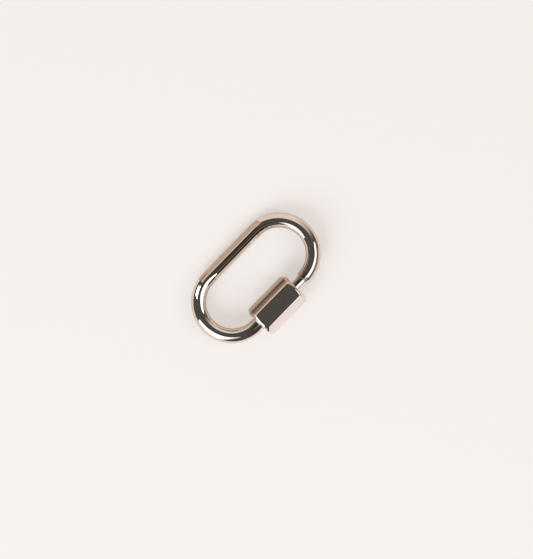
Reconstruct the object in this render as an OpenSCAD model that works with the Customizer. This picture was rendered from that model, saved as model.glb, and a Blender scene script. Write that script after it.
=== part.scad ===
// Oval screw-lock carabiner: a round-wire loop with a gate in one long side,
// closed by a hexagonal sleeve that runs along a thread on the wire's two ends.
// The link lies as it rests: on one flat of the sleeve and on its plain side.
// X runs along the link, +Z is up and the origin is under the middle of the box.

/* [Loop] */
// Length of the two straight sides, from one bend to the other
straight_length = 11.6; // [11:0.2:14]
// Overall width of the wire loop, without the sleeve
loop_width = 14.4; // [13.4:0.1:18]
// Diameter of the round wire
wire_d = 2.6; // [2.4:0.1:3]

/* [Sleeve] */
// Width of the sleeve across its flats
sleeve_flats = 5.5; // [5:0.1:7]
// Length of the sleeve
sleeve_length = 9; // [8.4:0.1:10]
// How far the sleeve's six long edges are turned down from sharp corners
sleeve_edge_break = 0.04; // [0.02:0.01:0.1]
// Length of the turned chamfer at the middle of each flat
sleeve_chamfer = 0.25; // [0.1:0.05:0.35]
// Angle of that chamfer from the sleeve's end face
sleeve_chamfer_angle = 30; // [25:5:45]

/* [Thread] */
// Outside diameter of the thread on the wire's ends
thread_d = 2; // [1.6:0.1:2.1]
// Pitch of the thread
thread_pitch = 0.4; // [0.3:0.05:0.45]
// Turns of thread on the short end, which the closed sleeve covers
short_turns = 3; // [2:1:4]
// Turns that the sleeve makes across the open gate
gate_turns = 6; // [4:1:7]
// Turns of thread inside the sleeve
sleeve_turns = 12; // [10:1:13]
// Length of the chamfer on each threaded tip
tip_chamfer = 0.2; // [0.05:0.05:0.35]

/* [Neck] */
// Diameter of the plain neck behind the long thread
neck_d = 2.15; // [2.1:0.05:2.3]
// Straight wire between the neck's shoulder and the upper bend
neck_land = 0.3; // [0.2:0.05:1]
// Straight wire between the lower bend and the shoulder that stops the sleeve
stop_land = 0.55; // [0.3:0.05:0.8]
// Break on the rim of both shoulders
shoulder_break = 0.05; // [0.02:0.01:0.08]

/* [Bore] */
// Radial gap between the thread's crests and the sleeve's threaded bore
thread_gap = 0.05; // [0.02:0.01:0.1]
// Length of the lead-in at the mouth of the threaded bore
thread_mouth_chamfer = 0.08; // [0.02:0.02:0.12]
// Radial gap between the wire and the sleeve's wide bore when the gate is open
wide_bore_gap = 0.08; // [0.05:0.01:0.2]
// Length of the countersink at the mouth of the wide bore
wide_mouth_chamfer = 0.15; // [0.05:0.05:0.2]

/* [Hidden] */
$fn = 96;
metal = [0.80, 0.78, 0.76];
cut = 1;                 // how far a cutting solid runs past the face that it opens
drill_point = 118;       // included angle at the bottom of the wide bore

wire_r = wire_d / 2;
bend_r = (loop_width - wire_d) / 2;         // radius of the wire's centre line in the bends
half_straight = straight_length / 2;
thread_r = thread_d / 2;
neck_r = neck_d / 2;

// Places along the gate side, from the lower bend to the upper one
stop_x = -half_straight + stop_land;
short_tip_x = stop_x + short_turns * thread_pitch;
sleeve_travel = (short_turns + gate_turns) * thread_pitch;
long_tip_x = stop_x + sleeve_travel;
sleeve_thread = sleeve_turns * thread_pitch;
neck_x = long_tip_x + sleeve_thread;        // the open sleeve's thread reaches the neck
neck_shoulder_x = half_straight - neck_land;

// The open sleeve's wide end passes the start of the upper bend by this much,
// so its bore has to clear the inside of the bend there.
bend_entry = max(0, stop_x + sleeve_length + sleeve_travel - half_straight);
inner_bend_r = bend_r - wire_r;
wide_bore_r = bend_r - sqrt(pow(inner_bend_r, 2) - pow(bend_entry, 2)) + wide_bore_gap;
thread_bore_r = thread_r + thread_gap;
wide_bore_cone = (wide_bore_r - thread_bore_r) / tan(drill_point / 2);

// Half width of the sleeve across its broken edges
sleeve_corner_r = sleeve_flats / 2 / cos(30) - sleeve_edge_break;

// At rest the sleeve lies on a flat and lifts the gate side, so the loop leans.
lean = asin((sleeve_flats / 2 - wire_r) / (2 * bend_r));
loop_height = wire_r + bend_r * sin(lean);
loop_y = (sleeve_corner_r - wire_r) / 2;
gate_y = loop_y - bend_r * cos(lean);

// Puts what is drawn in the loop's own plane where the loop rests
module in_loop_plane() {
    translate([0, loop_y, loop_height]) rotate([-lean, 0, 0]) children();
}

// A turned piece along X: its outline is a list of [place along X, radius]
module turned(outline) {
    rotate([90, 0, 90]) rotate_extrude() polygon([for (p = outline) [p[1], p[0]]]);
}

// One semicircular bend, on the side that end points to
module bend(end) {
    translate([end * half_straight, 0, 0]) rotate([0, 0, end > 0 ? -90 : 90])
        rotate_extrude(angle = 180) translate([bend_r, 0]) circle(wire_r);
}

// The long side that has no gate
module plain_side() {
    translate([-half_straight, bend_r, 0]) rotate([0, 90, 0])
        cylinder(r = wire_r, h = straight_length);
}

// The short threaded end, with the flat shoulder that stops the closed sleeve
module short_end() {
    translate([0, -bend_r, 0]) turned([
        [-half_straight, 0],
        [-half_straight, wire_r],
        [stop_x - shoulder_break, wire_r],
        [stop_x, wire_r - shoulder_break],
        [stop_x, thread_r],
        [short_tip_x - tip_chamfer, thread_r],
        [short_tip_x, thread_r - tip_chamfer],
        [short_tip_x, 0]
    ]);
}

// The long threaded end, which carries the open sleeve, and the plain neck behind it
module long_end() {
    translate([0, -bend_r, 0]) turned([
        [long_tip_x, 0],
        [long_tip_x, thread_r - tip_chamfer],
        [long_tip_x + tip_chamfer, thread_r],
        [neck_x, thread_r],
        [neck_x + neck_r - thread_r, neck_r],
        [neck_shoulder_x, neck_r],
        [neck_shoulder_x, wire_r - shoulder_break],
        [neck_shoulder_x + shoulder_break, wire_r],
        [half_straight, wire_r],
        [half_straight, 0]
    ]);
}

module wire_loop() {
    color(metal) in_loop_plane() union() {
        bend(1);
        bend(-1);
        plain_side();
        short_end();
        long_end();
    }
}

// The hexagonal bar that the sleeve is cut from, turned to break its edges and chamfer its ends
module sleeve_bar() {
    face_r = sleeve_flats / 2 - sleeve_chamfer / tan(sleeve_chamfer_angle);
    rim_x = (sleeve_corner_r - face_r) * tan(sleeve_chamfer_angle);
    intersection() {
        rotate([0, 90, 0]) rotate(30)
            cylinder(r = sleeve_flats / 2 / cos(30), h = sleeve_length, $fn = 6);
        turned([
            [0, 0],
            [0, face_r],
            [rim_x, sleeve_corner_r],
            [sleeve_length - rim_x, sleeve_corner_r],
            [sleeve_length, face_r],
            [sleeve_length, 0]
        ]);
    }
}

// What is bored out: the thread, its lead-in, the wide bore and its countersink
module sleeve_bores() {
    turned([
        [-cut, 0],
        [-cut, thread_bore_r + thread_mouth_chamfer + cut],
        [thread_mouth_chamfer, thread_bore_r],
        [sleeve_thread, thread_bore_r],
        [sleeve_thread + wide_bore_cone, wide_bore_r],
        [sleeve_length - wide_mouth_chamfer, wide_bore_r],
        [sleeve_length + cut, wide_bore_r + wide_mouth_chamfer + cut],
        [sleeve_length + cut, 0]
    ]);
}

module sleeve_nut() {
    color(metal) translate([stop_x, gate_y, sleeve_flats / 2]) difference() {
        sleeve_bar();
        sleeve_bores();
    }
}

wire_loop();
sleeve_nut();
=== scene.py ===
"""Looks of an oval screw-lock carabiner: a bent wire loop and the hexagonal sleeve on its gate.

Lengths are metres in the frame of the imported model. X runs along the link towards its
neck, Y towards its plain side and Z up, and the link lies on the plane z = 0.
"""

import logging
import math
from collections.abc import Iterable
from dataclasses import dataclass, field
from enum import Enum

import bpy
import numpy as np
from mathutils import Matrix, Vector


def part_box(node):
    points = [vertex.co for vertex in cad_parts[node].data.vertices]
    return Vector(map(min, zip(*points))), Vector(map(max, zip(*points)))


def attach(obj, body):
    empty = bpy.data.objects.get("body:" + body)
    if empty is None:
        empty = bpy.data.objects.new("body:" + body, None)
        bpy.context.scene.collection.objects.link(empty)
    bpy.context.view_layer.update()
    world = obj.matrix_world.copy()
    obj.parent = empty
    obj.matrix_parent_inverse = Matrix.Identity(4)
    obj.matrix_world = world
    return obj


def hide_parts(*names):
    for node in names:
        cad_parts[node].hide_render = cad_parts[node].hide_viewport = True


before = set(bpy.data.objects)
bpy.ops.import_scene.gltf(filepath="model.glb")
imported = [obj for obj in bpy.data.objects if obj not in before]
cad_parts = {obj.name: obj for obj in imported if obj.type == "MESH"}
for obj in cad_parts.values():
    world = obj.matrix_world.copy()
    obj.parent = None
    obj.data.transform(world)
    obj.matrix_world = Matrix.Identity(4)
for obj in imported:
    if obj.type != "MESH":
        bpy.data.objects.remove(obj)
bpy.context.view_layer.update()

MM = 0.001
LOG = logging.getLogger("carabiner")

Colour = tuple[float, float, float]
Figure = float | np.ndarray


class Zone(Enum):
    """The stretches of a turned skin that a thread is cut on."""

    PLAIN = 0
    SHORT_END = 1
    LONG_END = 2
    BORE = 3


class Surface(Enum):
    """How the metal was left: 0 where it is polished and 1 where it is as the tool left it."""

    POLISHED = 0.0
    FACED = 0.5
    CUT = 1.0


class Signal:
    """A number that a node tree works out, on which Python's operators add Math nodes."""

    def __init__(self, graph: "Graph", socket: bpy.types.NodeSocket) -> None:
        """Wraps an output socket of the graph."""
        self.graph = graph
        self.socket = socket

    def _math(self, operation: str, *values: "Signal | float") -> "Signal":
        """Adds one Math node that works on the values in order."""
        return self.graph.math(operation, *values)

    def __add__(self, other: "Signal | float") -> "Signal":
        """Gives self + other."""
        return self._math("ADD", self, other)

    def __radd__(self, other: float) -> "Signal":
        """Gives other + self."""
        return self._math("ADD", other, self)

    def __sub__(self, other: "Signal | float") -> "Signal":
        """Gives self - other."""
        return self._math("SUBTRACT", self, other)

    def __rsub__(self, other: float) -> "Signal":
        """Gives other - self."""
        return self._math("SUBTRACT", other, self)

    def __mul__(self, other: "Signal | float") -> "Signal":
        """Gives self * other."""
        return self._math("MULTIPLY", self, other)

    def __rmul__(self, other: float) -> "Signal":
        """Gives other * self."""
        return self._math("MULTIPLY", other, self)

    def __truediv__(self, other: "Signal | float") -> "Signal":
        """Gives self / other."""
        return self._math("DIVIDE", self, other)

    def __abs__(self) -> "Signal":
        """Gives the size of self without its sign."""
        return self._math("ABSOLUTE", self)

    def sine(self) -> "Signal":
        """Gives the sine of self, in radians."""
        return self._math("SINE", self)

    def cosine(self) -> "Signal":
        """Gives the cosine of self, in radians."""
        return self._math("COSINE", self)

    def least(self, other: "Signal | float") -> "Signal":
        """Gives the smaller of self and other."""
        return self._math("MINIMUM", self, other)

    def most(self, other: "Signal | float") -> "Signal":
        """Gives the larger of self and other."""
        return self._math("MAXIMUM", self, other)

    def within(self, low: "Signal | float", high: "Signal | float") -> "Signal":
        """Gives self, kept between low and high."""
        return self.most(low).least(high)

    def wrapped(self, low: float, high: float) -> "Signal":
        """Gives self, brought into the span from low to high by whole spans."""
        return self._math("WRAP", self, high, low)

    def ease(self, start: "Signal | float", end: "Signal | float") -> "Signal":
        """Gives a smooth climb from 0 at start to 1 at end."""
        node = self.graph.node(
            "ShaderNodeMapRange",
            {"interpolation_type": "SMOOTHSTEP"},
            {"Value": self, "From Min": start, "From Max": end},
        )
        return Signal(self.graph, node.outputs[0])


Feed = Signal | bpy.types.NodeSocket | bpy.types.Node | float | tuple | str


def put(name: str, data: bpy.types.ID) -> bpy.types.Object:
    """Adds an object with that data to the scene."""
    made = bpy.data.objects.new(name, data)
    bpy.context.scene.collection.objects.link(made)
    return made


class Graph:
    """Makes and links every node of one node tree."""

    ONE_BOUNCE = 1.5

    def __init__(self, tree: bpy.types.NodeTree) -> None:
        """Starts on the tree with its nodes cleared."""
        self.tree = tree
        tree.nodes.clear()

    @classmethod
    def of_material(cls, name: str) -> tuple[bpy.types.Material, "Graph"]:
        """Makes a material of that name, and the graph of its nodes."""
        made = bpy.data.materials.new(name)
        made.use_nodes = True
        return made, cls(made.node_tree)

    def node(
        self,
        kind: str,
        settings: dict[str, object] | None = None,
        sockets: dict[str | int, Feed] | None = None,
    ) -> bpy.types.Node:
        """Adds one node.

        Args:
            kind: The node's type.
            settings: The node's own settings, which are set first.
            sockets: Values or links for its inputs, by name or by number.

        Returns:
            The node.
        """
        made = self.tree.nodes.new(kind)
        for name, value in (settings or {}).items():
            setattr(made, name, value)
        for key, value in (sockets or {}).items():
            self._feed(made.inputs[key], value)
        return made

    def _feed(self, socket: bpy.types.NodeSocket, value: Feed) -> None:
        """Links value to the socket, or sets it there if it is a constant."""
        if isinstance(value, Signal):
            value = value.socket
        if isinstance(value, bpy.types.Node):
            value = value.outputs[0]
        if isinstance(value, bpy.types.NodeSocket):
            self.tree.links.new(value, socket)
        elif socket.type == "RGBA" and len(value) == 3:
            socket.default_value = (*value, 1.0)
        else:
            socket.default_value = value

    def math(self, operation: str, *values: Signal | float) -> Signal:
        """Adds one Math node that works on the values in order."""
        made = self.node("ShaderNodeMath", {"operation": operation}, dict(enumerate(values)))
        return Signal(self, made.outputs[0])

    def split(self, vector: Feed) -> tuple[Signal, Signal, Signal]:
        """Gives a vector's three parts."""
        parts = self.node("ShaderNodeSeparateXYZ", None, {"Vector": vector}).outputs
        return Signal(self, parts[0]), Signal(self, parts[1]), Signal(self, parts[2])

    def join(self, x: Feed, y: Feed, z: Feed) -> bpy.types.Node:
        """Gives a vector made of three parts."""
        return self.node("ShaderNodeCombineXYZ", None, {"X": x, "Y": y, "Z": z})

    def blend(self, share: Feed, first: Feed, second: Feed) -> bpy.types.NodeSocket:
        """Gives a colour that is first where share is 0 and second where it is 1."""
        sockets = {0: share, 6: first, 7: second}
        return self.node("ShaderNodeMix", {"data_type": "RGBA"}, sockets).outputs[2]

    def coordinates(self, kind: str = "Object") -> bpy.types.NodeSocket:
        """Gives the Texture Coordinate node's output of that kind."""
        return self.node("ShaderNodeTexCoord").outputs[kind]

    def path(self, name: str) -> Signal:
        """Gives the Light Path node's output of that name."""
        return Signal(self, self.node("ShaderNodeLightPath").outputs[name])

    def seen_again(self) -> Signal:
        """Gives 1 where a reflection is itself seen in a reflection, or else 0."""
        return self.math("GREATER_THAN", self.path("Glossy Depth"), self.ONE_BOUNCE)

    def bearing(self, x: Signal, y: Signal) -> Signal:
        """Gives the direction of a point from the origin, in degrees from +X to +Y."""
        return self.math("ARCTAN2", y, x) * math.degrees(1)

    def noise(self, place: Feed, scale: float, detail: float) -> Signal:
        """Gives a cloudy noise between 0 and 1 whose cells are about 1/scale metres."""
        made = self.node(
            "ShaderNodeTexNoise", None, {"Vector": place, "Scale": scale, "Detail": detail}
        )
        return Signal(self, made.outputs[0])


class ShapeRule:
    """A Geometry Nodes tree with named inputs, which moves the points of a skin."""

    SOCKETS = {float: "NodeSocketFloat", int: "NodeSocketInt"}
    WELD = 0.0005 * MM
    SAME = 0.5

    def __init__(self, name: str, sizes: dict[str, type]) -> None:
        """Makes the tree's inputs: the skin, the named sizes and the metal."""
        tree = bpy.data.node_groups.new(name, "GeometryNodeTree")
        face = tree.interface
        face.new_socket("Skin", in_out="INPUT", socket_type="NodeSocketGeometry")
        for size, kind in sizes.items():
            face.new_socket(size, in_out="INPUT", socket_type=self.SOCKETS[kind])
        face.new_socket("Metal", in_out="INPUT", socket_type="NodeSocketMaterial")
        face.new_socket("Skin", in_out="OUTPUT", socket_type="NodeSocketGeometry")
        self.graph = Graph(tree)
        self.inputs = self.graph.node("NodeGroupInput").outputs

    def size(self, name: str) -> Signal:
        """Gives the tree's input of that name."""
        return Signal(self.graph, self.inputs[name])

    def attribute(self, name: str) -> Signal:
        """Gives a number that the skin's points carry."""
        named = self.graph.node("GeometryNodeInputNamedAttribute", None, {"Name": name})
        return Signal(self.graph, named.outputs[0])

    def place(self) -> tuple[Signal, Signal, Signal]:
        """Gives the place of a point."""
        return self.graph.split(self.graph.node("GeometryNodeInputPosition"))

    def close(self, place: Feed, chosen: Feed = True, joined: Feed = True) -> None:
        """Ends the tree: the chosen points move to place, and the joined ones are welded."""
        moved = self.graph.node(
            "GeometryNodeSetPosition",
            None,
            {"Geometry": self.inputs["Skin"], "Selection": chosen, "Position": place},
        )
        welded = self.graph.node(
            "GeometryNodeMergeByDistance",
            None,
            {"Geometry": moved, "Selection": joined, "Distance": self.WELD},
        )
        smooth = self.graph.node("GeometryNodeSetShadeSmooth", None, {"Geometry": welded})
        real = self.graph.node("GeometryNodeRealizeInstances", None, {"Geometry": smooth})
        dressed = self.graph.node(
            "GeometryNodeSetMaterial", None, {"Geometry": real, "Material": self.inputs["Metal"]}
        )
        self.graph.node("NodeGroupOutput", None, {"Skin": dressed})

    def apply(self, piece: bpy.types.Object, values: dict[str, object]) -> None:
        """Runs the tree on a piece and keeps the result as the piece's own mesh.

        Args:
            piece: The object whose mesh the tree changes.
            values: The value of each of the tree's inputs, by the input's name.
        """
        modifier = piece.modifiers.new(self.graph.tree.name, "NODES")
        modifier.node_group = self.graph.tree
        for item in self.graph.tree.interface.items_tree:
            if item.in_out == "INPUT" and item.name in values:
                modifier[item.identifier] = values[item.name]
        evaluated = piece.evaluated_get(bpy.context.evaluated_depsgraph_get())
        result = bpy.data.meshes.new_from_object(evaluated)
        piece.modifiers.remove(modifier)
        piece.data = result
        result.name = piece.name


class ThreadRule(ShapeRule):
    """Cuts a right-hand thread on one zone of a turned skin that lies along X.

    The rows of points there start a pitch before the thread. Each row is sheared to a
    helix, so that its points stay on one crest or in one root, and is then given the
    radius of the thread at its place. The points of another thread aren't welded yet,
    because a weld would average the turns on both sides of the seam.
    """

    def __init__(self) -> None:
        """Builds the tree."""
        sizes = ["Pitch", "Phase", "Start", "End", "Crest", "Root", "Crest Share", "Root Share"]
        sizes += ["Fade Start", "Fade End", "Tip", "Tip Radius", "Side"]
        super().__init__("cut_thread", {"Zone": int} | dict.fromkeys(sizes, float))
        pitch, crest, side = self.size("Pitch"), self.size("Crest"), self.size("Side")
        turn = self.attribute("turn")
        along = (self.place()[0] + pitch * turn).within(self.size("Start"), self.size("End"))
        wave = abs((along / pitch - turn - self.size("Phase")).wrapped(-0.5, 0.5))
        climb = wave.ease(self.size("Root Share"), self.size("Crest Share"))
        fade = along.ease(self.size("Fade Start"), self.size("Fade End"))
        reach = crest - (crest - self.size("Root")) * (1 - climb) * (1 - fade)
        limit = self.size("Tip Radius") + side * abs(along - self.size("Tip"))
        reach = side * (side * reach).least(side * limit)
        angle = turn * math.tau
        place = self.graph.join(along, reach * angle.cosine(), reach * angle.sine())
        zone = self.attribute("zone")
        same = self.graph.math("COMPARE", zone, self.size("Zone"), self.SAME)
        plain = self.graph.math("COMPARE", zone, float(Zone.PLAIN.value), self.SAME)
        self.close(place, same, same + plain)


class BendRule(ShapeRule):
    """Bends a straight bar that lies along X into the oval of a link.

    The bar's X is the distance from its short tip, its Y points out of the oval and its
    Z stays. The oval lies round the origin with its gate side towards -Y.
    """

    def __init__(self) -> None:
        """Builds the tree."""
        sizes = ["Tip", "Lead", "Straight", "Bend Radius"]
        super().__init__("bend_oval", dict.fromkeys(sizes, float))
        lead, straight, radius = self.size("Lead"), self.size("Straight"), self.size("Bend Radius")
        along, out, up = self.place()
        arc = radius * math.pi
        past_first = along - lead
        past_plain = past_first - arc - straight
        first = (past_first / radius).within(0.0, math.pi)
        second = (past_plain / radius).within(0.0, math.pi)
        turned = first + second
        middle_x = (
            self.size("Tip")
            - along.least(lead)
            - radius * first.sine()
            + (past_first - arc).within(0.0, straight)
            + radius * second.sine()
            - (past_plain - arc).most(0.0)
        )
        x = middle_x - out * turned.sine()
        y = 0 - (radius + out) * turned.cosine()
        self.close(self.graph.join(x, y, up))


@dataclass(frozen=True)
class Corner:
    """One corner of a turned outline.

    Its place along the axis and its distance from it may differ from column to column,
    and rounding is the radius of the fillet that rounds it.
    """

    along: Figure
    reach: Figure
    rounding: float = 0.0


@dataclass
class TurnedSkin:
    """Rows of points round the X axis, with an open seam at the start of the turn."""

    turns: np.ndarray
    support: float = 0.02 * MM
    arc_steps: int = 4
    rows: list[np.ndarray] = field(default_factory=list)
    zones: list[int] = field(default_factory=list)
    cuts: list[float] = field(default_factory=list)

    def row(
        self,
        along: Figure,
        reach: Figure,
        surface: Surface = Surface.POLISHED,
        zone: Zone = Zone.PLAIN,
    ) -> None:
        """Adds one row of points.

        Args:
            along: Place along the axis, one for the row or one for each column.
            reach: Distance from the axis, in the same way.
            surface: How the metal was left there.
            zone: The thread that is cut there, if any.
        """
        angle = self.turns * math.tau
        points = np.empty((len(self.turns), 3))
        points[:, 0] = along
        points[:, 1] = reach * np.cos(angle)
        points[:, 2] = reach * np.sin(angle)
        self.rows.append(points)
        self.zones.append(zone.value)
        self.cuts.append(surface.value)

    def outline(self, corners: list[Corner], surface: Surface = Surface.POLISHED) -> None:
        """Adds the rows of an outline, with its corners rounded between supporting rows.

        Args:
            corners: The outline's corners in order. The first and last aren't rounded.
            surface: How the metal was left there.
        """
        columns = np.ones(len(self.turns))
        places = [np.stack([c.along * columns, c.reach * columns]) for c in corners]
        for index, corner in enumerate(corners):
            if not corner.rounding:
                self.row(corner.along, corner.reach, surface)
                continue
            way_in = self._direction(places[index - 1], places[index])
            way_out = self._direction(places[index], places[index + 1])
            for offset in self._fillet(way_in, way_out, corner.rounding):
                self.row(*(places[index] + offset), surface)

    @staticmethod
    def _direction(start: np.ndarray, end: np.ndarray) -> np.ndarray:
        """Gives the unit direction from start to end, for each column."""
        step = end - start
        return step / np.hypot(*step)

    def _fillet(
        self, way_in: np.ndarray, way_out: np.ndarray, radius: float
    ) -> Iterable[np.ndarray]:
        """Gives the points of a fillet and of its supports, measured from the corner."""
        cross = way_in[0] * way_out[1] - way_in[1] * way_out[0]
        turn = np.arctan2(np.abs(cross), (way_in * way_out).sum(axis=0))
        side = np.stack([-way_in[1], way_in[0]]) * np.sign(cross)
        reach = radius * np.tan(turn / 2)
        yield -way_in * (reach + self.support)
        for step in range(self.arc_steps + 1):
            angle = turn * step / self.arc_steps
            arc = np.sin(angle) * way_in + (1 - np.cos(angle)) * side
            yield radius * arc - way_in * reach
        yield way_out * (reach + self.support)

    def mesh(self, name: str, closed: bool = False) -> bpy.types.Mesh:
        """Makes the skin a mesh that carries each point's turn, zone and cut.

        Args:
            name: The mesh's name.
            closed: Whether the last row joins the first.

        Returns:
            The mesh, whose faces point outwards.
        """
        count, columns = len(self.rows), len(self.turns)
        quads = []
        for row in range(count if closed else count - 1):
            here, there = row * columns, (row + 1) % count * columns
            for column in range(columns - 1):
                quad = (here + column, here + column + 1, there + column + 1, there + column)
                quads.append(quad)
        mesh = bpy.data.meshes.new(name)
        mesh.from_pydata(np.concatenate(self.rows).tolist(), [], quads)
        self._carry(mesh, "turn", "FLOAT", np.tile(self.turns, count))
        self._carry(mesh, "zone", "INT", np.repeat(self.zones, columns))
        self._carry(mesh, "cut", "FLOAT", np.repeat(self.cuts, columns))
        return mesh

    @staticmethod
    def _carry(mesh: bpy.types.Mesh, name: str, kind: str, values: np.ndarray) -> None:
        """Stores one number for each point of the mesh."""
        mesh.attributes.new(name, kind, "POINT").data.foreach_set("value", values)


@dataclass(frozen=True)
class ScrewThread:
    """A fine metric thread, with rounded crests and roots."""

    pitch: float = 0.4 * MM
    crest_r: float = 1.0 * MM
    root_r: float = 0.755 * MM
    crest_share: float = 0.0625
    root_share: float = 0.375
    rows_per_pitch: int = 10
    play: float = 0.05 * MM
    flank_play_share: float = 0.035

    def rows(self, skin: TurnedSkin, start: float, end: float, zone: Zone) -> None:
        """Adds the rows that the thread is cut on, from a pitch before start up to end."""
        reach = self.crest_r
        for place in self._places(start, end):
            skin.row(place, reach, Surface.CUT, zone)

    def rows_back(self, skin: TurnedSkin, start: float, end: float, zone: Zone) -> None:
        """Adds the same rows in the opposite order, for a bore."""
        reach = self.crest_r + self.play
        for place in reversed(self._places(start, end)):
            skin.row(place, reach, Surface.CUT, zone)

    def _places(self, start: float, end: float) -> list[float]:
        """Gives where the rows lie before they are sheared."""
        step = self.pitch / self.rows_per_pitch
        count = round((end - start + self.pitch) / step)
        return [end - (count - index) * step for index in range(count + 1)]

    def outside(self) -> dict[str, float]:
        """Gives the rule's sizes for a thread on a bar."""
        return {
            "Pitch": self.pitch,
            "Crest": self.crest_r,
            "Root": self.root_r,
            "Crest Share": self.crest_share,
            "Root Share": self.root_share,
            "Side": 1.0,
        }

    def inside(self) -> dict[str, float]:
        """Gives the rule's sizes for the thread in a bore, which clears the outside one."""
        return self.outside() | {
            "Crest": self.crest_r + self.play,
            "Root": self.root_r + self.play / 2,
            "Crest Share": self.crest_share + self.flank_play_share,
            "Root Share": self.root_share + self.flank_play_share,
            "Side": -1.0,
        }


@dataclass(frozen=True)
class MirrorMetal:
    """A mirror-polished warm white metal, duller where the tool left it.

    The grain stands for the tool's fine marks, which hardly show where it is polished.
    """

    name: str
    colour: Colour = (0.86, 0.82, 0.78)
    worn_colour: Colour = (0.82, 0.775, 0.725)
    cut_colour: Colour = (0.62, 0.585, 0.545)
    roughness: float = 0.035
    haze: float = 0.05
    cut_roughness: float = 0.26
    haze_scale: float = 260.0
    haze_span: tuple[float, float] = (0.45, 0.75)
    ripple: float = 0.0006 * MM
    ripple_scale: float = 420.0
    grain: tuple[float, float, float] = (700.0, 9000.0, 9000.0)
    grain_height: float = 0.04
    cut_grain_height: float = 1.5

    def material(self) -> bpy.types.Material:
        """Builds the finish as a node material."""
        made, graph = Graph.of_material(self.name)
        place = graph.coordinates()
        cut = Signal(
            graph, graph.node("ShaderNodeAttribute", {"attribute_name": "cut"}).outputs["Fac"]
        )
        haze = graph.noise(place, self.haze_scale, 3.0).ease(*self.haze_span)
        grain_place = graph.node(
            "ShaderNodeMapping", {"vector_type": "POINT"}, {"Vector": place, "Scale": self.grain}
        )
        grain = graph.noise(grain_place, 1.0, 4.0)
        ripple = graph.noise(place, self.ripple_scale, 1.0)
        bare = graph.blend(haze, self.colour, self.worn_colour)
        colour = graph.blend(cut, bare, self.cut_colour)
        shine = self.roughness + haze * self.haze * grain
        roughness = shine + cut * (self.cut_roughness - self.roughness)
        height = ripple + grain * (self.grain_height + cut * self.cut_grain_height)
        bump = graph.node(
            "ShaderNodeBump", None, {"Strength": 1.0, "Distance": self.ripple, "Height": height}
        )
        metal = graph.node(
            "ShaderNodeBsdfPrincipled",
            None,
            {"Base Color": colour, "Metallic": 1.0, "Roughness": roughness, "Normal": bump},
        )
        graph.node("ShaderNodeOutputMaterial", None, {"Surface": metal})
        return made


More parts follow.
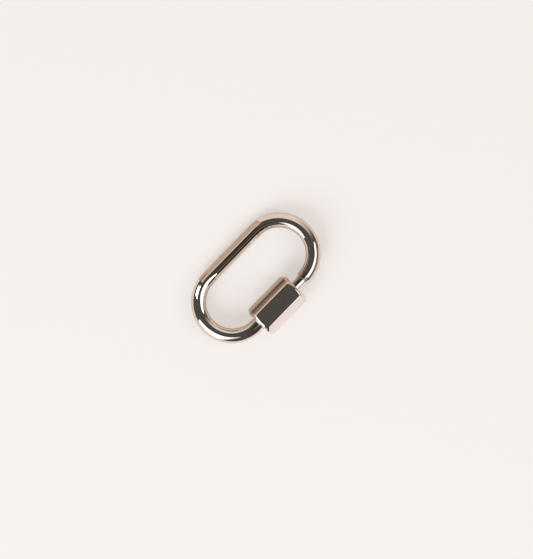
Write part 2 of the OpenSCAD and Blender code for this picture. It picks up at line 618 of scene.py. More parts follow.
@dataclass
class WireLoop:
    """The wire: a turned bar with a thread on each end, bent to an oval."""

    metal: MirrorMetal
    gate_y: float
    gate_z: float
    wire_d: float = 2.6 * MM
    loop_width: float = 14.4 * MM
    straight: float = 11.6 * MM
    stop_land: float = 0.55 * MM
    short_thread: float = 1.2 * MM
    gate_gap: float = 2.4 * MM
    long_thread: float = 4.8 * MM
    neck_d: float = 2.15 * MM
    neck_land: float = 0.3 * MM
    tip_chamfer: float = 0.2 * MM
    rim_rounding: float = 0.05 * MM
    columns: int = 96
    bend_rows: int = 72
    plain_rows: int = 24
    thread: ScrewThread = ScrewThread()

    def __post_init__(self) -> None:
        """Works out the places along the bar, measured from its short tip."""
        self.wire_r = self.wire_d / 2
        self.neck_r = self.neck_d / 2
        self.bend_r = (self.loop_width - self.wire_d) / 2
        self.lead = self.short_thread + self.stop_land
        self.plain_start = self.lead + math.pi * self.bend_r
        self.plain_end = self.plain_start + self.straight
        self.neck_bend = self.plain_end + math.pi * self.bend_r
        self.shoulder = self.neck_bend + self.neck_land
        self.short_tip_x = self.lead - self.straight / 2
        self.long_tip_x = self.short_tip_x + self.gate_gap
        self.bar_end = self.neck_bend + self.straight / 2 - self.long_tip_x
        self.long_thread_start = self.bar_end - self.long_thread
        self.lean = math.asin((self.gate_z - self.wire_r) / (2 * self.bend_r))

    def build(self) -> bpy.types.Object:
        """Makes the whole loop as one skin.

        Returns:
            The loop's object, with its place in its mesh.
        """
        piece = put("polished_wire_loop", self._bar().mesh("wire_bar"))
        metal = self.metal.material()
        cutter = ThreadRule()
        for sizes in (self._short_end(), self._long_end()):
            cutter.apply(piece, self.thread.outside() | sizes | {"Metal": metal})
        bend = {
            "Tip": self.short_tip_x,
            "Lead": self.lead,
            "Straight": self.straight,
            "Bend Radius": self.bend_r,
            "Metal": metal,
        }
        BendRule().apply(piece, bend)
        piece.data.transform(self.placement())
        return piece

    def placement(self) -> Matrix:
        """Gives where the loop lies: on its plain side, and held up by the sleeve."""
        middle = Vector(
            (
                0.0,
                self.gate_y + self.bend_r * math.cos(self.lean),
                self.gate_z - self.bend_r * math.sin(self.lean),
            )
        )
        return Matrix.Translation(middle) @ Matrix.Rotation(-self.lean, 4, "X")

    def _bar(self) -> TurnedSkin:
        """Lays out the straight bar, from its short tip to its long one."""
        skin = TurnedSkin(np.linspace(0.0, 1.0, self.columns + 1))
        face_r = self.thread.root_r - self.rim_rounding
        for reach in (0.0, face_r / 2, face_r):
            skin.row(0.0, reach, Surface.FACED)
        self.thread.rows(skin, 0.0, self.short_thread, Zone.SHORT_END)
        skin.outline(
            [
                Corner(self.short_thread, self.thread.crest_r),
                Corner(self.short_thread, self.wire_r, self.rim_rounding),
                Corner(self.lead, self.wire_r),
            ]
        )
        self._plain_rows(skin, self.lead, self.plain_start, self.bend_rows)
        self._plain_rows(skin, self.plain_start, self.plain_end, self.plain_rows)
        self._plain_rows(skin, self.plain_end, self.neck_bend, self.bend_rows)
        neck_step = self.neck_r - self.thread.crest_r
        skin.outline(
            [
                Corner(self.neck_bend + self.rim_rounding, self.wire_r),
                Corner(self.shoulder, self.wire_r, self.rim_rounding),
                Corner(self.shoulder, self.neck_r, self.rim_rounding),
                Corner(self.long_thread_start - neck_step, self.neck_r, self.rim_rounding),
                Corner(self.long_thread_start, self.thread.crest_r),
            ]
        )
        self.thread.rows(skin, self.long_thread_start, self.bar_end, Zone.LONG_END)
        for reach in (face_r, face_r / 2, 0.0):
            skin.row(self.bar_end, reach, Surface.FACED)
        return skin

    def _plain_rows(self, skin: TurnedSkin, start: float, end: float, count: int) -> None:
        """Adds evenly spaced rows of full wire after start and up to end."""
        for index in range(count):
            skin.row(start + (end - start) * (index + 1) / count, self.wire_r)

    def _short_end(self) -> dict[str, float]:
        """Gives the thread rule's sizes for the short end."""
        pitch = self.thread.pitch
        return {
            "Zone": Zone.SHORT_END.value,
            "Phase": self.short_tip_x / pitch - 0.5,
            "Start": 0.0,
            "End": self.short_thread,
            "Fade Start": self.short_thread - pitch / 2,
            "Fade End": self.short_thread,
            "Tip": 0.0,
            "Tip Radius": self.thread.crest_r - self.tip_chamfer,
        }

    def _long_end(self) -> dict[str, float]:
        """Gives the thread rule's sizes for the long end."""
        pitch = self.thread.pitch
        return {
            "Zone": Zone.LONG_END.value,
            "Phase": (self.long_tip_x + self.bar_end) / pitch - 0.5,
            "Start": self.long_thread_start,
            "End": self.bar_end,
            "Fade Start": self.long_thread_start + pitch / 2,
            "Fade End": self.long_thread_start,
            "Tip": self.bar_end,
            "Tip Radius": self.thread.crest_r - self.tip_chamfer,
        }


@dataclass
class HexSleeve:
    """The sleeve: a hexagonal bar with turned ends, tapped at one end and bored wide at the other.

    The thread in its bore runs out between two places, in pitches before its end.
    """

    metal: MirrorMetal
    start_x: float
    end_x: float
    axis_y: float
    axis_z: float
    flats: float = 5.5 * MM
    edge_rounding: float = 0.26 * MM
    chamfer: float = 0.25 * MM
    chamfer_angle: float = math.radians(30)
    rim_rounding: float = 0.12 * MM
    flat_rounding: float = 0.42 * MM
    thread_length: float = 4.8 * MM
    thread_mouth: float = 0.08 * MM
    wide_bore_r: float = 1.649 * MM
    wide_mouth: float = 0.15 * MM
    drill_point: float = math.radians(118)
    edge_columns: int = 8
    flat_columns: int = 16
    flat_support: float = 0.985
    run_out: tuple[float, float] = (1.25, 0.75)
    thread: ScrewThread = ScrewThread()

    SIDES = 6
    SIDE_ANGLE = math.pi / 3
    SEAM_PLAY = 1e-9

    def build(self) -> bpy.types.Object:
        """Makes the sleeve as one closed skin.

        Returns:
            The sleeve's object, with its place in its mesh.
        """
        piece = put("polished_hex_sleeve", self._skin().mesh("sleeve", closed=True))
        thread_end = self.start_x + self.thread_length
        sizes = {
            "Zone": Zone.BORE.value,
            "Phase": 0.0,
            "Start": self.start_x,
            "End": thread_end,
            "Fade Start": thread_end - self.thread.pitch * self.run_out[0],
            "Fade End": thread_end - self.thread.pitch * self.run_out[1],
            "Tip": self.start_x,
            "Tip Radius": self.thread.crest_r + self.thread.play + self.thread_mouth,
            "Metal": self.metal.material(),
        }
        ThreadRule().apply(piece, self.thread.inside() | sizes)
        piece.data.transform(Matrix.Translation((0.0, self.axis_y, self.axis_z)))
        return piece

    def _section(self) -> tuple[np.ndarray, np.ndarray]:
        """Gives the hexagon's section with rounded corners.

        Returns:
            For each column, its share of a turn from the +Y side and its distance from the axis.
        """
        half_angle = self.SIDE_ANGLE / 2
        arc_middle = (self.flats / 2 - self.edge_rounding) / math.cos(half_angle)
        straight_half = (self.flats / 2 - self.edge_rounding) * math.tan(half_angle)
        points = []
        for corner in range(self.SIDES + 1):
            heading = corner * self.SIDE_ANGLE
            middle = arc_middle * np.exp(1j * heading)
            for step in range(self.edge_columns + 1):
                swing = (step / self.edge_columns - 0.5) * self.SIDE_ANGLE
                points.append(middle + self.edge_rounding * np.exp(1j * (heading + swing)))
            across = heading + half_angle
            for step in self._flat_steps():
                along_flat = 1j * straight_half * step
                points.append((self.flats / 2 + along_flat) * np.exp(1j * across))
        section = np.array(points)
        turns = np.unwrap(np.angle(section)) / math.tau
        whole = (turns > -self.SEAM_PLAY) & (turns < 1 + self.SEAM_PLAY)
        return turns[whole].clip(0.0, 1.0), np.abs(section)[whole]

    def _flat_steps(self) -> np.ndarray:
        """Gives the places of the columns across a flat, from -1 to 1, closer at its edges."""
        even = np.linspace(-1.0, 1.0, self.flat_columns)
        return np.concatenate([[-self.flat_support], even[1:-1], [self.flat_support]])

    def _skin(self) -> TurnedSkin:
        """Lays out the outside from the tapped end to the wide one, and the bores back again."""
        turns, edge = self._section()
        skin = TurnedSkin(turns)
        rise = math.tan(self.chamfer_angle)
        face_r = self.flats / 2 - self.chamfer / rise
        rim = (edge - face_r) * rise
        tap_r = self.thread.crest_r + self.thread.play
        tap_end = self.start_x + self.thread_length
        cone = (self.wide_bore_r - tap_r) / math.tan(self.drill_point / 2)
        mouth = self.wide_bore_r + self.wide_mouth
        skin.outline(
            [
                Corner(self.start_x, tap_r + self.thread_mouth),
                Corner(self.start_x, face_r, self.rim_rounding),
                Corner(self.start_x + rim, edge, self.flat_rounding),
                Corner(self.start_x + (self.end_x - self.start_x) / 2, edge),
                Corner(self.end_x - rim, edge, self.flat_rounding),
                Corner(self.end_x, face_r, self.rim_rounding),
                Corner(self.end_x, mouth),
            ]
        )
        skin.outline(
            [
                Corner(self.end_x - self.wide_mouth, self.wide_bore_r),
                Corner(tap_end + cone, self.wide_bore_r),
                Corner(tap_end, tap_r),
            ],
            Surface.CUT,
        )
        self.thread.rows_back(skin, self.start_x, tap_end, Zone.BORE)
        return skin


@dataclass(frozen=True)
class Softbox:
    """A square lamp that faces the link and lights the floor.

    Its bearing is the compass direction in the photograph, from its right-hand side
    counter-clockwise, and its slant is measured from straight overhead.
    """

    name: str
    bearing: float
    slant: float
    side: float
    power: float
    distance: float = 0.8
    colour: Colour = (0.94, 1.0, 1.07)

    def build(self, image_turn: float) -> bpy.types.Object:
        """Hangs the lamp.

        Args:
            image_turn: Angle of the photograph's right-hand side in the frame, in radians.

        Returns:
            The lamp's object, which the metal doesn't see.
        """
        light = bpy.data.lights.new(self.name, "AREA")
        light.shape = "SQUARE"
        light.size = self.side
        light.energy = self.power
        light.color = self.colour
        lamp = put(self.name, light)
        bearing = math.radians(self.bearing) + image_turn
        slant = math.radians(self.slant)
        away = Vector(
            (
                math.sin(slant) * math.cos(bearing),
                math.sin(slant) * math.sin(bearing),
                math.cos(slant),
            )
        )
        lamp.location = away * self.distance
        lamp.rotation_euler = (-away).to_track_quat("-Z", "Y").to_euler()
        # The metal doesn't see the lamp. Glowing cards paint its highlight instead.
        lamp.visible_glossy = False
        return lamp


@dataclass(frozen=True)
class Patch:
    """A painted reflection: a patch of the sky that only the metal sees, between two bearings and
    two slants.

    Bearings and slants are in degrees, as on Softbox, and so is the blur of its edges.
    """

    colour: Colour
    bearings: tuple[float, float]
    slants: tuple[float, float]
    blur: float

    def mask(self, bearing: Signal, slant: Signal) -> Signal:
        """Gives 1 inside the patch and 0 outside it."""
        middle, half_width = self._span(self.bearings)
        level, half_height = self._span(self.slants)
        aside = (bearing - middle).wrapped(-180.0, 180.0)
        beside = abs(aside).ease(half_width + self.blur, half_width - self.blur)
        above = abs(slant - level)
        return beside * above.ease(half_height + self.blur, half_height - self.blur)

    @staticmethod
    def _span(ends: tuple[float, float]) -> tuple[float, float]:
        """Gives the middle and the half width of a span."""
        return (ends[0] + ends[1]) / 2, (ends[1] - ends[0]) / 2


@dataclass(frozen=True)
class Sky:
    """What stands far round the link.

    The camera sees a pale room. Only the metal sees a painted reflection: a dark room with paler
    and darker painted patches, which light nothing.
    """

    ambient: Colour = (0.58, 0.49, 0.42)
    seen: Colour = (0.90, 0.87, 0.84)
    # Painted reflection: the dark room overhead, which only the metal sees.
    dark: Colour = (0.080, 0.074, 0.068)
    # Painted reflection, paler, where the sky is seen after two reflections.
    painted_second_reflection: Colour = (0.95, 0.85, 0.78)
    # Painted reflections: a dim pale band near the horizon, a black stripe high up and a bright
    # warm patch near the horizon.
    patches: tuple[Patch, ...] = (
        Patch((0.45, 0.41, 0.39), (-70.0, 10.0), (76.0, 96.0), blur=4.0),
        Patch((0.03, 0.022, 0.014), (131.5, 139.5), (-10.0, 32.5), blur=1.5),
        Patch((1.0, 0.88, 0.80), (-47.5, -41.5), (71.0, 100.0), blur=1.5),
    )

    def build(self, image_turn: float) -> None:
        """Paints the world.

        Args:
            image_turn: Angle of the photograph's right-hand side in the frame, in radians.
        """
        world = bpy.data.worlds.new("studio_sky")
        bpy.context.scene.world = world
        world.use_nodes = True
        graph = Graph(world.node_tree)
        x, y, up = graph.split(graph.coordinates("Generated"))
        bearing = graph.bearing(x, y) - math.degrees(image_turn)
        slant = graph.math("ARCCOSINE", up.within(-1.0, 1.0)) * math.degrees(1)
        around = graph.blend(graph.path("Is Camera Ray"), self.ambient, self.seen)
        # Only glossy rays see this painted reflection. The other rays see the plain room.
        painted_sky = self.dark
        for patch in self.patches:
            painted_sky = graph.blend(patch.mask(bearing, slant), painted_sky, patch.colour)
        painted_sky = graph.blend(graph.seen_again(), painted_sky, self.painted_second_reflection)
        colour = graph.blend(graph.path("Is Glossy Ray"), around, painted_sky)
        light = graph.node("ShaderNodeBackground", None, {"Color": colour, "Strength": 1.0})
        graph.node("ShaderNodeOutputWorld", None, {"Surface": light})


@dataclass(frozen=True)
class Band:
    """A stretch with soft edges, in millimetres: it fades in over one span and out over another."""

    rise: tuple[float, float]
    fall: tuple[float, float]

    def mask(self, place: Signal) -> Signal:
        """Gives 1 inside the stretch and 0 outside it."""
        return place.ease(*self.rise) * place.ease(*self.fall)


@dataclass(frozen=True)
class Floor:
    """The pale floor, which the metal sees as a warmer card with zones of painted shade and painted
    light of its own.

    Spans run from where a zone is clear to where it is full. They are in millimetres,
    but below_span is in degrees of bearing and bend_edge in square millimetres.
    """

    side: float = 6.0
    colour: Colour = (0.912, 0.883, 0.865)
    glow: float = 0.50
    # The painted reflection that only the metal sees: painted light paler below and within the
    # loop, painted shade tan, golden and brown, and a deep painted shadow.
    card: Colour = (0.83, 0.72, 0.64)
    painted_light_below: Colour = (0.925, 0.868, 0.86)
    painted_light_within: Colour = (0.99, 0.89, 0.815)
    painted_shade_tan: Colour = (0.665, 0.537, 0.427)
    painted_shade_golden: Colour = (0.57, 0.38, 0.243)
    painted_shade_brown: Colour = (0.58, 0.47, 0.385)
    card_under: Colour = (0.92, 0.78, 0.66)
    painted_shadow_deep: Colour = (0.38, 0.28, 0.22)
    bend_x: float = 5.8
    bend_y: float = 0.92
    bend_edge: tuple[float, float] = (20.0, 14.0)
    below_bearing: float = -60.0
    below_span: tuple[float, float] = (60.0, 20.0)
    golden_slope: float = 0.6
    golden_y: tuple[float, float] = (1.8, 0.2)
    golden_x: tuple[float, float] = (2.5, 4.5)
    within_y: Band = Band((-4.0, -3.0), (4.8, 4.0))
    within_end: tuple[float, float] = (5.6, 4.6)
    under_y: Band = Band((4.0, 4.8), (9.0, 8.0))
    under_pale: tuple[float, float] = (5.5, 6.1)
    deep_y: Band = Band((3.0, 4.0), (7.5, 6.5))
    side_end: tuple[float, float] = (7.0, 5.0)

    def build(self, image_turn: float) -> bpy.types.Object:
        """Lays the floor, as one large square.

        Args:
            image_turn: Angle of the photograph's right-hand side in the frame, in radians.

        Returns:
            The floor's object.
        """
        half = self.side / 2
        mesh = bpy.data.meshes.new("floor")
        corners = [(-half, -half, 0.0), (half, -half, 0.0), (half, half, 0.0), (-half, half, 0.0)]
        mesh.from_pydata(corners, [], [(0, 1, 2, 3)])
        mesh.materials.append(self._material(image_turn))
        floor = put("floor", mesh)
        return floor

    def _material(self, image_turn: float) -> bpy.types.Material:
        """Builds the floor's matt white and the painted reflection that the metal sees instead."""
        made, graph = Graph.of_material("pale_floor_painted_reflection")
        card = self._painted_reflection(graph, image_turn)
        colour = graph.blend(graph.path("Is Glossy Ray"), self.colour, card)
        paper = graph.node("ShaderNodeBsdfDiffuse", None, {"Color": colour})
        bright = graph.node("ShaderNodeEmission", None, {"Color": self.colour, "Strength": 1.0})
        share = graph.path("Is Camera Ray") * self.glow
        lit = graph.node("ShaderNodeMixShader", None, {0: share, 1: paper, 2: bright})
        graph.node("ShaderNodeOutputMaterial", None, {"Surface": lit})
        return made

    def _painted_reflection(self, graph: Graph, image_turn: float) -> bpy.types.NodeSocket:
        """Gives the painted reflection's colour: pale, with painted shade tan inside the bends and
        brown by the plain side.

        Args:
            graph: The graph of the floor's material.
            image_turn: Angle of the photograph's right-hand side in the frame, in radians.

        Returns:
            The socket of the colour.
        """
        x, y, _ = graph.split(graph.coordinates())
        bearing = graph.bearing(x, y) - math.degrees(image_turn)
        x = x / MM
        y = y / MM
        across = abs(x)
        aside = across - self.bend_x
        above = y - self.bend_y
        turned = (bearing - self.below_bearing).wrapped(-180.0, 180.0)
        # Painted light: paler round below_bearing.
        below = abs(turned).ease(*self.below_span)
        # Painted shade: tan inside the bends, golden in part of the neck's bend.
        inside = (aside * aside + above * above).ease(*self.bend_edge)
        slanted = y + (x - self.bend_x) * self.golden_slope
        golden_shade = slanted.ease(*self.golden_y) * x.ease(*self.golden_x)
        # Painted light: paler within the middle of the loop.
        within = self.within_y.mask(y) * across.ease(*self.within_end)
        side = across.ease(*self.side_end)
        # Painted shade: brown by the plain side, turning paler under its wire.
        under_shade = self.under_y.mask(y) * side
        # Painted shadow: deep by the plain side, where the floor is seen after two reflections.
        deep_shadow = graph.seen_again() * self.deep_y.mask(y) * side
        card = graph.blend(below, self.card, self.painted_light_below)
        card = graph.blend(inside, card, graph.blend(golden_shade, self.painted_shade_tan, self.painted_shade_golden))
        card = graph.blend(within, card, self.painted_light_within)
        lowest = graph.blend(y.ease(*self.under_pale), self.painted_shade_brown, self.card_under)
        card = graph.blend(under_shade, card, lowest)
        return graph.blend(deep_shadow, card, self.painted_shadow_deep)


@dataclass(frozen=True)
class MirrorCard:
    """A flat glowing card that only the metal sees, with its corners in millimetres: a painted
    reflection, which lights nothing and casts no shadow.
    """

    name: str
    corners: tuple[tuple[float, float, float], ...]
    colour: Colour
    cover: float = 1.0

    def build(self) -> bpy.types.Object:
        """Stands the card in its place.

        Returns:
            The card's object, with its place in its mesh.
        """
        mesh = bpy.data.meshes.new(self.name)
        corners, faces = self._shape()
        mesh.from_pydata([tuple(part * MM for part in corner) for corner in corners], [], faces)
        card = put(self.name, mesh)
        made, graph = Graph.of_material(self.name)
        made.cycles.emission_sampling = "NONE"
        clear = graph.node("ShaderNodeBsdfTransparent")
        shine = graph.node(
            "ShaderNodeEmission", None, {"Color": self._paint(graph), "Strength": 1.0}
        )
        seen = graph.node("ShaderNodeMixShader", None, {0: self._cover(graph), 1: clear, 2: shine})
        graph.node("ShaderNodeOutputMaterial", None, {"Surface": seen})
        mesh.materials.append(made)
        card.visible_camera = False
        card.visible_diffuse = False
        card.visible_shadow = False
        card.visible_transmission = False
        return card

    def _shape(self) -> tuple[list[tuple[float, ...]], list[tuple[int, ...]]]:
        """Gives the card's points and its faces."""
        return list(self.corners), [tuple(range(len(self.corners)))]

    def _paint(self, graph: Graph) -> Feed:
        """Gives the card's colour."""
        return self.colour

    def _cover(self, graph: Graph) -> Feed:
        """Gives 1 where the card hides what is behind it and 0 where it is clear."""
        return self.cover


@dataclass(frozen=True)
class LeftHighlightCard(MirrorCard):
    """The large painted highlight of the left softbox: a glowing card on the camera's left, which
    fades out on its right.

    It fades over a span in millimetres that is measured along fade_way.
    """

    name: str = "left_highlight_card"
    corners: tuple[tuple[float, float, float], ...] = (
        (-34.6, 1.9, 54.3),
        (-31.4, -5.6, 56.6),
        (-28.7, -10.2, 59.0),
        (-25.6, -16.8, 61.4),
        (-26.8, -24.1, 58.2),
        (-33.1, -34.4, 48.0),
        (-42.9, -39.2, 34.6),
        (-67.4, -38.5, 3.8),
        (-72.3, 23.6, 11.7),
        (-67.9, 23.3, 17.2),
        (-51.2, 21.3, 37.7),
    )
    colour: Colour = (1.7, 1.7, 1.66)
    # The painted highlight fades into this dark.
    faded: Colour = (0.080, 0.074, 0.068)
    fade_way: tuple[float, float] = (0.177, -0.984)
    fade: tuple[float, float] = (3.0, 24.0)

    def _paint(self, graph: Graph) -> Feed:
        """Gives the painted highlight's white, which fades towards -Y."""
        x, y, _ = graph.split(graph.coordinates())
        aside = x * (self.fade_way[0] / MM) + y * (self.fade_way[1] / MM)
        return graph.blend(aside.ease(*self.fade), self.colour, self.faded)


@dataclass(frozen=True)
class BackdropReflectionCard(MirrorCard):
    """A painted reflection of a pale backdrop: an upright glowing card past the neck's bend, dim at
    its right-hand end.

    Its heading is in degrees from +X towards +Y, its dim_span and end_span are in degrees
    from that heading, and its sizes are in millimetres.
    """

    name: str = "backdrop_reflection_card"
    corners: tuple[tuple[float, float, float], ...] = ()
    colour: Colour = (0.80, 0.70, 0.63)
    dim: Colour = (0.38, 0.31, 0.28)
    heading: float = 14.2
    away: float = 52.0
    half_width: float = 400.0
    edge: tuple[float, float] = (94.0, 66.0)
    dim_span: tuple[float, float] = (-20.0, 12.0)
    end_span: tuple[float, float] = (-28.0, -12.0)

    def _shape(self) -> tuple[list[tuple[float, ...]], list[tuple[int, ...]]]:
        """Gives the card's points and its face."""
        ahead = np.exp(1j * math.radians(self.heading))
        start = ahead * (self.away - 1j * self.half_width)
        end = ahead * (self.away + 1j * self.half_width)
        top = self.edge[0]
        points = [(start.real, start.imag, 0.0), (start.real, start.imag, top)]
        points += [(end.real, end.imag, top), (end.real, end.imag, 0.0)]
        return points, [(0, 1, 2, 3)]

    def _aside(self, graph: Graph) -> tuple[Signal, Signal]:
        """Gives how far round from the heading a point of the card is, and its height."""
        x, y, up = graph.split(graph.coordinates())
        return graph.bearing(x, y) - self.heading, up / MM

    def _paint(self, graph: Graph) -> Feed:
        """Gives the card's colour, which is dim towards its right-hand end."""
        aside, _ = self._aside(graph)
        return graph.blend(aside.ease(*self.dim_span), self.dim, self.colour)

    def _cover(self, graph: Graph) -> Feed:
        """Gives 1 on the card and less towards its soft upper edge and its right-hand end."""
        aside, up = self._aside(graph)
        return aside.ease(*self.end_span) * up.ease(*self.edge)


@dataclass(frozen=True)
class RingShadeCard(MirrorCard):
    """A low dark strip round one bend: painted shade that ends a highlight on the bend's outer
    side.

    Its bearings are in degrees from +X towards +Y, round the bend's own middle.
    """

    name: str = "ring_shade_card"
    corners: tuple[tuple[float, float, float], ...] = ()
    colour: Colour = (0.16, 0.15, 0.14)
    middle: tuple[float, float] = (5.8, 0.92)
    radius: float = 10.15
    bearings: tuple[float, float] = (-88.0, -22.0)
    low: float = 4.8
    tops: tuple[float, float] = (8.3, 6.8)
    steps: int = 8

    def _shape(self) -> tuple[list[tuple[float, ...]], list[tuple[int, ...]]]:
        """Gives the strip's points, low and high in turn, and its faces."""
        points = []
        for step in range(self.steps + 1):
            share = step / self.steps
            bearing = math.radians(self._between(self.bearings, share))
            x = self.middle[0] + self.radius * math.cos(bearing)
            y = self.middle[1] + self.radius * math.sin(bearing)
            points += [(x, y, self.low), (x, y, self._between(self.tops, share))]
        starts = range(0, 2 * self.steps, 2)
        return points, [(start, start + 2, start + 3, start + 1) for start in starts]

    @staticmethod
    def _between(ends: tuple[float, float], share: float) -> float:
        """Gives the value at that share of the way from one end to the other."""
        return ends[0] + (ends[1] - ends[0]) * share


@dataclass(frozen=True)
class SideReflectionCard(MirrorCard):
    """A painted reflection: the low brown glowing card beside the plain side, with a brighter top,
    an orange end and a dark painted streak.
    """

    name: str = "side_reflection_card"
    corners: tuple[tuple[float, float, float], ...] = (
        (-7.6, 10.2, 0.0),
        (8.0, 10.2, 0.0),
        (8.0, 10.2, 7.8),
        (-7.6, 10.2, 7.8),
    )
    colour: Colour = (0.54, 0.41, 0.314)
    bright: Colour = (0.68, 0.545, 0.465)
    orange: Colour = (0.60, 0.38, 0.25)
    streak: Colour = (0.25, 0.14, 0.09)
    bright_span: tuple[float, float] = (4.8, 5.2)
    orange_span: tuple[float, float] = (7.0, 8.0)
    streak_span: tuple[float, float] = (-4.5, -6.5)
    streak_height: float = 3.3
    streak_edge: tuple[float, float] = (0.9, 0.4)

    def _paint(self, graph: Graph) -> Feed:
        """Gives the card's painted brown with its top, its end and a dark painted streak near its
        start.
        """
        x, _, up = graph.split(graph.coordinates())
        x = x / MM
        up = up / MM
        beside = abs(up - self.streak_height).ease(*self.streak_edge)
        streak = x.ease(*self.streak_span) * beside
        colour = graph.blend(up.ease(*self.bright_span), self.colour, self.bright)
        colour = graph.blend(x.ease(*self.orange_span), colour, self.orange)
        return graph.blend(streak, colour, self.streak)


@dataclass(frozen=True)
class ShadeCard(MirrorCard):
    """The black card inside the loop: painted shade that keeps the plain side's inner half dark.

    It faces the plain side. Low down its back hides what is behind it too.
    """

    name: str = "shade_card"
    corners: tuple[tuple[float, float, float], ...] = (
        (-4.2, 4.0, 6.0),
        (-5.7, 4.0, 11.0),
        (-6.6, 4.0, 22.0),
        (6.6, 4.0, 22.0),
        (6.6, 4.0, 3.3),
        (-4.2, 4.0, 3.3),
    )
    colour: Colour = (0.030, 0.022, 0.014)
    line: Colour = (0.28, 0.20, 0.16)
    line_height: float = 6.9
    line_edge: tuple[float, float] = (1.1, 0.7)
    back_edge: tuple[float, float] = (5.0, 5.6)

    def _paint(self, graph: Graph) -> Feed:
        """Gives the card's black with the brown line of a painted reflection along it."""
        up = graph.split(graph.coordinates())[2] / MM
        beside = abs(up - self.line_height).ease(*self.line_edge)
        return graph.blend(beside, self.colour, self.line)

    def _cover(self, graph: Graph) -> Feed:
        """Gives 1 on the side that faces the plain side, and low down on the other."""
        up = graph.split(graph.coordinates())[2] / MM
        behind = Signal(graph, graph.node("ShaderNodeNewGeometry").outputs["Backfacing"])
        return 1 - behind * up.ease(*self.back_edge)


@dataclass(frozen=True)
class GlintLamp:
    """A small lamp close to the lower bend, where only the metal sees it. Lengths are in mm."""

    place: tuple[float, float, float] = (-13.1, 17.0, 15.2)
    aim: tuple[float, float, float] = (-8.55, 6.64, 2.54)
    width: float = 4.6
    height: float = 8.6
    power: float = 1.8e-4
    spread: float = math.radians(60)

    def build(self) -> bpy.types.Object:
        """Hangs the lamp.

        Returns:
            The lamp's object.
        """
        light = bpy.data.lights.new("glint_lamp", "AREA")
        light.shape = "RECTANGLE"
        light.size = self.width * MM
        light.size_y = self.height * MM
        light.energy = self.power
        light.spread = self.spread
        lamp = put("glint_lamp", light)
        away = Vector(self.place) - Vector(self.aim)
        lamp.location = Vector(self.place) * MM
        lamp.rotation_euler = (-away).to_track_quat("-Z", "Y").to_euler()
        lamp.visible_diffuse = False
        return lamp


@dataclass(frozen=True)
class Studio:
    """The floor, the sky, the softboxes, and the glowing cards of painted reflection and the lamp
    that only the metal sees.
    """

    floor: Floor = Floor()
    sky: Sky = Sky()
    cards: tuple[MirrorCard, ...] = (
        SideReflectionCard(),
        ShadeCard(),
        RingShadeCard(),
        # Painted shade: a dark card that ends a highlight near the lower bend.
        MirrorCard(
            "stop_shade_card",
            ((-9.0, -6.9, 4.1), (-4.9, -6.9, 4.1), (-4.9, -6.9, 13.0), (-9.0, -6.9, 13.0)),
            (0.055, 0.050, 0.046),
        ),
        # Painted shade: a dark card, partly clear, beside the neck.
        MirrorCard(
            "neck_shade_card",
            (
                (5.55, -7.5, 4.4),
                (6.6, -7.5, 4.4),
                (6.6, -7.5, 8.0),
                (6.1, -7.5, 18.0),
                (5.55, -7.5, 18.0),
            ),
            (0.05, 0.045, 0.04),
            0.75,
        ),
        LeftHighlightCard(),
        # Painted highlight of the right softbox: a glowing card that only the metal sees.
        MirrorCard(
            "right_highlight_card",
            (
                (-8.1, -73.5, 81.0),
                (-13.3, -50.8, 101.1),
                (-11.8, -27.5, 118.5),
                (-0.6, -22.8, 117.1),
                (9.9, -20.9, 113.8),
                (17.4, -20.0, 111.1),
                (26.3, -23.4, 104.4),
                (38.1, -21.7, 100.4),
                (53.0, -15.6, 98.4),
                (72.9, -17.8, 87.7),
                (88.2, -30.4, 71.0),
                (90.4, -48.0, 56.2),
                (73.3, -74.3, 43.5),
                (49.7, -85.4, 45.5),
                (18.6, -91.5, 54.9),
                (-4.2, -84.2, 71.0),
            ),
            (1.6, 1.6, 1.58),
        ),
        BackdropReflectionCard(),
    )
    glint: GlintLamp = GlintLamp()
    softboxes: tuple[Softbox, ...] = (
        Softbox("softbox_left", 234.0, 55.0, 0.50, 4.3),
        Softbox("softbox_right", -10.0, 46.0, 0.42, 1.4),
    )

    def build(self, image_turn: float) -> None:
        """Lays the floor, hangs the lamps and paints the sky."""
        self.floor.build(image_turn)
        self.sky.build(image_turn)
        for card in self.cards:
            card.build()
        self.glint.build()
        for softbox in self.softboxes:
            softbox.build(image_turn)


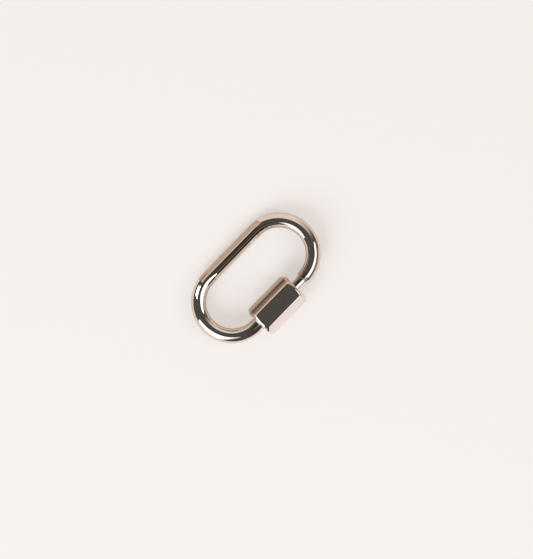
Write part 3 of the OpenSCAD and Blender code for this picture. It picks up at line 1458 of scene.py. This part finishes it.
@dataclass(frozen=True)
class PhotoCamera:
    """The camera, almost straight overhead, that sees the link as the photograph does."""

    image: tuple[int, int] = (533, 559)
    middle: tuple[float, float] = (255.9, 278.0)
    pixel: float = MM / 5.77
    link_angle: float = math.radians(45.8)
    tilt: float = math.radians(5.3)
    distance: float = 0.6
    sensor: float = 36.0

    @property
    def image_turn(self) -> float:
        """Angle of the photograph's right-hand side in the frame."""
        return -self.link_angle

    def build(self, target: Vector) -> bpy.types.Object:
        """Makes the camera and sets it as the scene's.

        Args:
            target: The point that the photograph shows at its middle pixel.

        Returns:
            The camera's object.
        """
        data = bpy.data.cameras.new("photo_camera")
        data.sensor_width = self.sensor
        data.lens = self.sensor * self.distance / (max(self.image) * self.pixel)
        camera = put("photo_camera", data)
        away = Vector((0.0, math.sin(self.tilt), math.cos(self.tilt)))
        right = Vector((math.cos(self.image_turn), math.sin(self.image_turn), 0.0))
        right = (right - away * right.dot(away)).normalized()
        up = away.cross(right)
        aside = (self.image[0] / 2 - self.middle[0]) * self.pixel
        below = (self.image[1] / 2 - self.middle[1]) * self.pixel
        camera.matrix_world = Matrix(
            (
                (right.x, up.x, away.x, 0.0),
                (right.y, up.y, away.y, 0.0),
                (right.z, up.z, away.z, 0.0),
                (0.0, 0.0, 0.0, 1.0),
            )
        )
        camera.location = target + away * self.distance + right * aside - up * below
        bpy.context.scene.camera = camera
        return camera


def report(piece: bpy.types.Object) -> None:
    """Logs how many points and faces a finished piece has."""
    mesh = piece.data
    LOG.info("%s: %d points, %d faces", piece.name, len(mesh.vertices), len(mesh.polygons))


def main() -> None:
    """Builds the link piece by piece, and the studio round it."""
    logging.basicConfig(level=logging.INFO, format="%(name)s: %(message)s")
    low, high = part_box("sleeve_nut")
    axis = (low + high) / 2
    loop = WireLoop(MirrorMetal("polished_wire"), axis.y, axis.z)
    sleeve = HexSleeve(MirrorMetal("polished_hexagon"), low.x, high.x, axis.y, axis.z)
    made = {
        "loop": (loop.build(), "wire_loop"),
        "sleeve": (sleeve.build(), "sleeve_nut"),
    }
    for body, (piece, node) in made.items():
        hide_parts(node)
        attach(piece, body)
        report(piece)
    camera = PhotoCamera()
    camera.build(loop.placement().translation)
    Studio().build(camera.image_turn)
    bpy.context.scene.view_settings.view_transform = "Standard"


if __name__ == "__main__":
    main()
